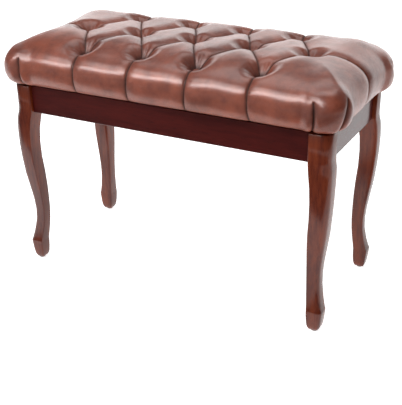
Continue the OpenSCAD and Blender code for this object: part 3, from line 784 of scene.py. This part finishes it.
# %% Finish the dust cloth
WEAVE = 420.0
black_cloth, place, sockets = new_finish("black_dust_cloth", Sheen_Weight=0.3)
threads = [place.node("TexWave", {"bands_direction": way, "wave_profile": "SIN"},
                      {"Vector": place, "Scale": WEAVE, "Distortion": 0.4}) for way in "XY"]
weave = threads[0] * threads[1]
weave.blend(colour(0.010, 0.010, 0.011), colour(0.040, 0.040, 0.043)).plug(sockets["Base Color"])
(0.80 + weave * 0.15).plug(sockets["Roughness"])
emboss(weave, 0.0002, sockets)
print("cloth finish:", black_cloth.name)

# %% Mark the notches
CLOTH_STEP = 0.006
CUT_MARGIN = 0.002
BRACKET_WIDTH = 0.020
cloth_low, cloth_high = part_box("dust_cover")
hinge_low, hinge_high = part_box("hinge_lid_leaf")
bracket_low, bracket_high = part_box("stay_lid_brackets")
notches = [(hinge_low.x, hinge_high.x, hinge_low.y, cloth_high.y)]
for way in (-1, 1):
    near_x, far_x = sorted((way * (bracket_high.x - BRACKET_WIDTH), way * bracket_high.x))
    notches.append((near_x, far_x, bracket_low.y, bracket_high.y))
notches = [(left - CUT_MARGIN, right + CUT_MARGIN, front - CUT_MARGIN, back + CUT_MARGIN)
           for left, right, front, back in notches]
print("notches in the cloth:", len(notches))


# %% Cut and hang the dust cloth
def lines(low, high, cuts):
    count = round((high - low) / CLOTH_STEP)
    return np.unique(np.round(np.concatenate([np.linspace(low, high, count + 1), cuts]), 5))


cloth_x = lines(cloth_low.x, cloth_high.x, [edge for notch in notches for edge in notch[:2]])
cloth_y = lines(cloth_low.y, cloth_high.y,
                [min(edge, cloth_high.y) for notch in notches for edge in notch[2:]])
cloth_points = [(x, y, cloth_low.z + 0.0003 + 0.0001 * math.sin(70 * x) * math.sin(90 * y))
                for x in cloth_x for y in cloth_y]
cloth_faces = []
for i in range(len(cloth_x) - 1):
    for j in range(len(cloth_y) - 1):
        mid_x, mid_y = (cloth_x[i] + cloth_x[i + 1]) / 2, (cloth_y[j] + cloth_y[j + 1]) / 2
        if not any(left < mid_x < right and front < mid_y < back for left, right, front, back in notches):
            corner = i * len(cloth_y) + j
            cloth_faces.append((corner, corner + 1, corner + len(cloth_y) + 1, corner + len(cloth_y)))
used = sorted({corner for face in cloth_faces for corner in face})
renumber = {old: new for new, old in enumerate(used)}
cloth = piece_from("dust_cloth", [cloth_points[old] for old in used],
                   [[renumber[corner] for corner in face] for face in cloth_faces],
                   "lid", "dust_cloth", black_cloth)
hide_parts("dust_cover")

# %% [markdown]
# ## Metal, board and small parts
# The hardware is plain stock: bright zinc on the bolts, screws and stays, yellow brass on the long
# hinge, and raw birch plywood for the hidden boards. Each finish keeps a little unevenness in its
# shine, because a perfectly even metal looks like plastic.

# %% Hardware finishes
def worn_metal(name, bright, dull, roughness):
    metal, place, sockets = new_finish(name, Metallic=1.0)
    haze = place.noise(90.0, 4.0, 0.6)
    scratches = place.stretched(40.0, 900.0, 900.0).noise(1.0, 2.0, 0.5)
    haze.between(0.35, 0.70).blend(bright, dull).plug(sockets["Base Color"])
    (roughness + haze * 0.14 + scratches * 0.06).plug(sockets["Roughness"])
    emboss(scratches, 0.00003, sockets)
    return metal


def grained_board(name, light, dark, scale):
    board, place, sockets = new_finish(name)
    grain = place.stretched(1.0, 12.0, 30.0).noise(scale, 4.0, 0.6)
    flecks = place.noise(240.0, 2.0, 0.5)
    (grain * 0.8 + flecks * 0.2).between(0.35, 0.65).blend(light, dark).plug(sockets["Base Color"])
    (0.55 + grain * 0.2).plug(sockets["Roughness"])
    emboss(grain + flecks * 0.5, 0.0002, sockets)
    return board


def plain_moulding(name, tone, speck, roughness):
    moulding, place, sockets = new_finish(name)
    cloudy = place.noise(160.0, 3.0, 0.6)
    cloudy.between(0.4, 0.7).blend(tone, speck).plug(sockets["Base Color"])
    (roughness + cloudy * 0.12).plug(sockets["Roughness"])
    emboss(cloudy, 0.00015, sockets)
    return moulding


zinc = worn_metal("zinc_steel_worn", colour(0.62, 0.62, 0.60), colour(0.42, 0.42, 0.41), 0.26)
brass = worn_metal("hinge_brass_worn", colour(0.46, 0.33, 0.15), colour(0.30, 0.20, 0.09), 0.30)
birch = grained_board("birch_plywood", colour(0.48, 0.33, 0.19), colour(0.33, 0.20, 0.10), 9.0)
nylon = plain_moulding("glide_nylon_grey", colour(0.16, 0.15, 0.14), colour(0.10, 0.10, 0.10), 0.45)
rubber = plain_moulding("bumper_rubber_dark", colour(0.02, 0.02, 0.02), colour(0.05, 0.05, 0.05), 0.6)
foam = plain_moulding("seat_foam", colour(0.70, 0.60, 0.38), colour(0.55, 0.45, 0.25), 0.8)
twine = plain_moulding("waxed_twine", colour(0.60, 0.52, 0.38), colour(0.40, 0.33, 0.22), 0.6)
print("hardware finishes ready")

# %% Give every part of the frame its finish
finish_for = {"plywood": birch, "zinc_steel": zinc, "hinge_brass": brass, "glide_nylon": nylon,
              "bumper_rubber": rubber, "foam": foam, "twine": twine, "dust_cloth": black_cloth,
              "brown_leather": button_leather, "stained_wood": wood_along["X"]}
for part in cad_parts.values():
    for holder in part.material_slots:
        slot_name = holder.material.name.split(".")[0] if holder.material else "zinc_steel"
        holder.material = finish_for.get(slot_name, zinc)
print("finishes given to", len(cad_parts), "parts of the frame")

# %% [markdown]
# ## The studio
# The bench stands on a white floor that is lit so strongly that it has no visible edge, and the
# polish is shown by what it mirrors. A tall white card behind gives the top of the seat its sheen, a
# bright card high in front to the left draws the streak along the front roll, a black card on the
# floor in front keeps the apron dark, and a small bright one beside the front left leg gives it an
# edge. The camera does not see these cards themselves: they show only as reflections.

# %% Floor and cards
WHITE, BLACK = (0.90, 0.90, 0.90), (0.0, 0.0, 0.0)


def card(name, centre, across, up, paint, glow_strength, hidden=True):
    """A flat card: across and up are its half sides, as vectors."""
    centre, across, up = Vector(centre), Vector(across), Vector(up)
    mesh = bpy.data.meshes.new(name)
    mesh.from_pydata([centre - across - up, centre + across - up, centre + across + up, centre - across + up],
                     [], [(0, 1, 2, 3)])
    piece = bpy.data.objects.new(name, mesh)
    bpy.context.scene.collection.objects.link(piece)
    material, _, sockets = new_finish(name, Roughness=0.9, Specular_IOR_Level=0.0, Base_Color=colour(*paint),
                                      Emission_Color=colour(1.0, 1.0, 1.0), Emission_Strength=glow_strength)
    mesh.materials.append(material)
    if hidden:
        piece.visible_camera = False
        piece.visible_shadow = False
        piece.visible_diffuse = False


card("studio_floor", (0, 0, 0), (12, 0, 0), (0, 12, 0), WHITE, 0.95, hidden=False)
card("front_flag", (-0.70, -1.90, 0.004), (3.0, 0.35, 0), (-0.15, 1.25, 0), BLACK, 0.0)
card("front_bounce", (-0.85, -0.42, 0.002), (0.55, 0, 0), (0, 0.20, 0), BLACK, 2.2)
card("back_card", (-1.2, 3.6, 1.55), (3.6, 0, 0), (0, 0, 1.55), BLACK, 2.0)
card("key_card", (-1.20, -2.00, 2.15), (1.35, 0.10, 0), (0, 0.24, 0.34), BLACK, 19.0)
print("studio floor and four cards set")

# %% [markdown]
# Two soft boxes give the plain light: a wide one overhead, and a long one in front above the seat.

# %% Lights
def soft_light(name, place, aim, width, height, watts):
    lamp = bpy.data.lights.new(name, "AREA")
    lamp.shape = "RECTANGLE"
    lamp.size, lamp.size_y, lamp.energy = width, height, watts
    light = bpy.data.objects.new(name, lamp)
    bpy.context.scene.collection.objects.link(light)
    light.location = place
    light.rotation_euler = (Vector(aim) - Vector(place)).to_track_quat("-Z", "Y").to_euler()


soft_light("overhead_softbox", (-0.3, 0.5, 2.8), (0.0, 0.0, 0.3), 2.2, 1.2, 30)
soft_light("front_softbox", (-0.75, -1.45, 2.65), (0.0, -0.1, 0.48), 2.4, 0.75, 42)
world = bpy.data.worlds.new("studio_air")
bpy.context.scene.world = world
world.use_nodes = True
air = world.node_tree.nodes["Background"].inputs
air["Color"].default_value = colour(1.0, 1.0, 1.0)
air["Strength"].default_value = 0.10
print("lights on")

# %% [markdown]
# ## The camera
# The bench is seen from the front, a little to the right and above, as a catalogue would show it:
# both the long apron and one end are in view, and the top of the seat shows its tufting.

# %% Set the camera
AIM = Vector((0.0240, -0.0299, 0.1658))
DISTANCE = 1.8603
ROUND = math.radians(28.12)
ABOVE = math.radians(25.68)
TILT = math.radians(-0.81)
lens = bpy.data.cameras.new("catalogue_camera")
lens.lens = 75.73
lens.sensor_width = 36.0
camera = bpy.data.objects.new("catalogue_camera", lens)
bpy.context.scene.collection.objects.link(camera)
toward = Vector((math.sin(ROUND) * math.cos(ABOVE), -math.cos(ROUND) * math.cos(ABOVE), math.sin(ABOVE)))
camera.location = AIM + toward * DISTANCE
level = toward.to_track_quat("Z", "Y")
camera.rotation_euler = (level @ Quaternion((0.0, 0.0, 1.0), TILT)).to_euler()
bpy.context.scene.camera = camera
bpy.context.scene.view_settings.view_transform = "Standard"
print("camera at", [round(value, 3) for value in camera.location])
